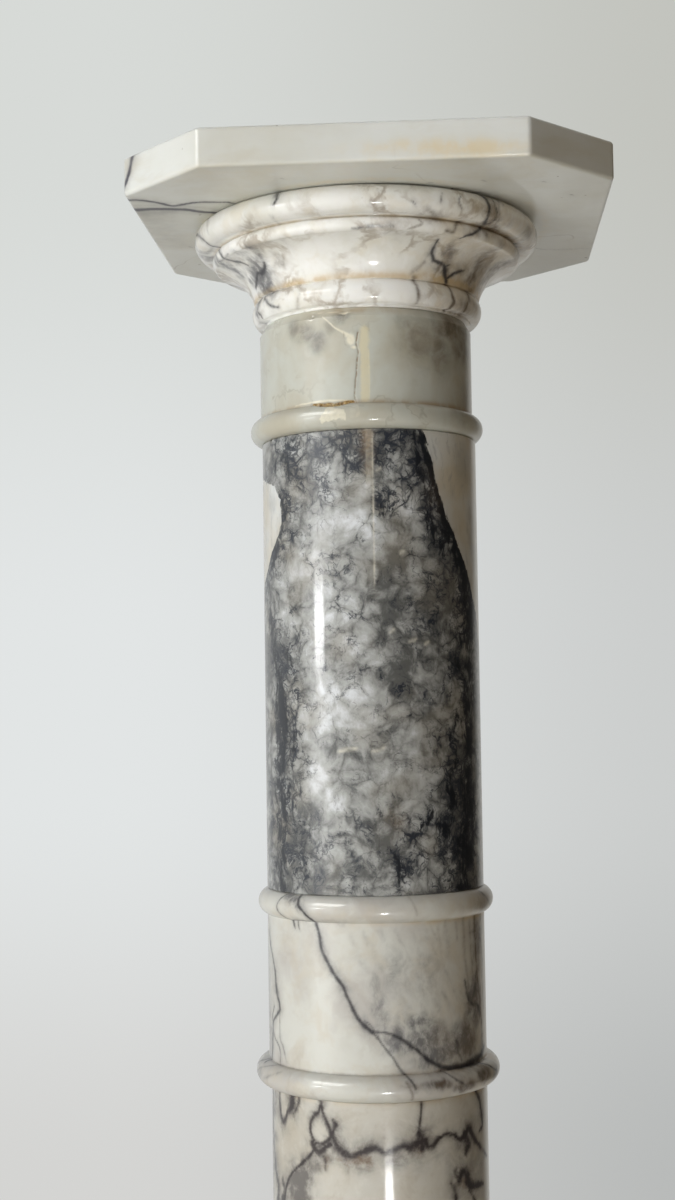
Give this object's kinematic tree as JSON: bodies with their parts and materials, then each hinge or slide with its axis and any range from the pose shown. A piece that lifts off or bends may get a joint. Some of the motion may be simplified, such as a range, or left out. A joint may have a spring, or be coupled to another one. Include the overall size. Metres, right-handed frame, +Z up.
{
  "type": "pedestal column",
  "caption": "Turned stone pedestal column: octagonal top plate, moulded capital, ringed round shaft of stacked drums, moulded foot and octagonal plinth; holds a vase or bust at its top.",
  "frame": {"origin": "on the floor under the middle of the plinth, which is the middle of the underside of the whole column's box", "axes": "+Z up along the shaft, -Y out of the flat side of the top plate that faces the front, +X to the right"},
  "size_m": [0.28, 0.28, 0.9],
  "materials": {
    "ivory_alabaster": "polished, slightly translucent",
    "veined_white_marble": "polished, dark veins and amber stains",
    "grey_green_marble": "polished, cloudy, with a pale filled repair",
    "blue_grey_breccia": "polished, fine dark network",
    "brown_veined_marble": "polished, brown and black veins"
  },
  "bodies": {
    "root": {"top_plate": "ivory_alabaster", "capital": "veined_white_marble", "neck": "grey_green_marble", "upper_drum": "blue_grey_breccia", "ring_drum": "veined_white_marble", "lower_drum": "brown_veined_marble", "foot": "veined_white_marble", "plinth": "ivory_alabaster"}
  },
  "joints": []
}
